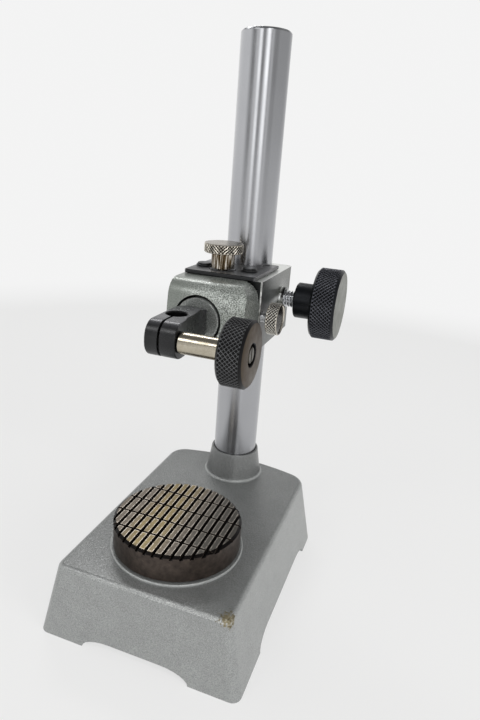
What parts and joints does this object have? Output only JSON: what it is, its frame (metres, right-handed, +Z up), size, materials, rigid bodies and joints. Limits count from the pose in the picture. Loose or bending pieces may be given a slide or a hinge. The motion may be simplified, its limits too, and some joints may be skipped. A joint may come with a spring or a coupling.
{
  "type": "comparator stand",
  "caption": "Bench comparator stand: hollow cast base with a grooved round anvil, ground column, and a clamping bracket with a finely adjusted split stem clamp.",
  "frame": {"origin": "on the bench, at the middle of the base's footprint", "axes": "+Z up along the column, +X to the right seen from the front (the side the clamping knobs are on), +Y from the front edge back towards the column"},
  "size_m": [0.1049, 0.1468, 0.2818],
  "materials": {
    "hammered_paint": "hammered silver-grey paint on cast iron, semi-gloss",
    "ground_steel": "ground and polished column",
    "hardened_steel": "dark hardened steel, lands ground bright",
    "black_oxide": "black oxide, semi-gloss",
    "nickel_plate": "nickel plate, bright",
    "zinc_plated_steel": "plain plated steel",
    "bronze": "plain bearing bronze",
    "spring_steel": "drawn spring wire"
  },
  "bodies": {
    "stand": {"base_casting": "hammered_paint", "anvil": "hardened_steel", "anvil_screw": "zinc_plated_steel", "anvil_washer": "zinc_plated_steel", "column": "ground_steel", "column_bolt": "zinc_plated_steel", "column_washer": "zinc_plated_steel"},
    "lift": {"column_bush": "bronze"},
    "bracket": {"bracket_casting": "hammered_paint", "top_plate": "black_oxide", "plate_screw_left": "black_oxide", "plate_screw_right": "black_oxide", "fine_bush": "black_oxide", "pivot_pin": "zinc_plated_steel", "return_spring": "spring_steel"},
    "clamp_foot": {"clamp_pad": "bronze"},
    "clamp_screw": {"clamp_knob": "black_oxide", "clamp_stud": "zinc_plated_steel"},
    "fine_foot": {"fine_tip": "zinc_plated_steel"},
    "fine_screw": {"fine_knob": "nickel_plate"},
    "lock_foot": {"lock_tip": "bronze"},
    "lock_thumb": {"lock_screw": "nickel_plate"},
    "rocker": {"barrel": "hammered_paint", "rocker_tail": "zinc_plated_steel", "stem_clamp": "black_oxide"},
    "stem_spacer": {"stem_sleeve": "nickel_plate"},
    "stem_thumb": {"stem_knob": "black_oxide", "stem_clip": "spring_steel", "stem_screw": "nickel_plate"}
  },
  "joints": [
    {"name": "lift_slide", "type": "slide", "parent": "stand", "child": "lift", "axis": [0, 0, 1], "range_m": [-0.075, 0.11]},
    {"name": "bracket_swing", "type": "hinge", "parent": "lift", "child": "bracket", "pos_m": [0, 0.05325, 0.1485], "axis": [0, 0, 1], "continuous": true},
    {"name": "clamp_travel", "type": "slide", "parent": "bracket", "child": "clamp_foot", "axis": [1, 0, 0], "range_m": [0, 0.0015]},
    {"name": "clamp_turn", "type": "hinge", "parent": "clamp_foot", "child": "clamp_screw", "pos_m": [0.03, 0.05325, 0.1512], "axis": [1, 0, 0], "range_deg": [0, 360]},
    {"name": "fine_travel", "type": "slide", "parent": "bracket", "child": "fine_foot", "axis": [0, 0, 1], "range_m": [-0.0005, 0.0005]},
    {"name": "fine_turn", "type": "hinge", "parent": "fine_foot", "child": "fine_screw", "pos_m": [-0.004, 0.02255, 0.17], "axis": [0, 0, 1], "range_deg": [-360, 360]},
    {"name": "lock_travel", "type": "slide", "parent": "bracket", "child": "lock_foot", "axis": [1, 0, 0], "range_m": [0, 0.0007]},
    {"name": "lock_turn", "type": "hinge", "parent": "lock_foot", "child": "lock_thumb", "pos_m": [0.02, 0.01775, 0.1483], "axis": [1, 0, 0], "range_deg": [0, 360]},
    {"name": "rocker_tilt", "type": "hinge", "parent": "bracket", "child": "rocker", "pos_m": [-0.0046, 0.00315, 0.1483], "axis": [1, 0, 0], "range_deg": [-1.48, 1.48], "deforming": ["return_spring"]},
    {"name": "stem_travel", "type": "slide", "parent": "rocker", "child": "stem_spacer", "axis": [1, 0, 0], "range_m": [0, 0.0008]},
    {"name": "stem_turn", "type": "hinge", "parent": "stem_spacer", "child": "stem_thumb", "pos_m": [0.02, -0.04225, 0.1483], "axis": [1, 0, 0], "range_deg": [0, 360]}
  ],
  "couplings": [
    {"joint": "clamp_turn", "follows": "clamp_travel", "rad_per_m": 4188},
    {"joint": "fine_turn", "follows": "fine_travel", "rad_per_m": 12566},
    {"joint": "rocker_tilt", "follows": "fine_travel", "rad_per_m": 51.546},
    {"joint": "lock_turn", "follows": "lock_travel", "rad_per_m": 8975},
    {"joint": "stem_turn", "follows": "stem_travel", "rad_per_m": 7853}
  ]
}
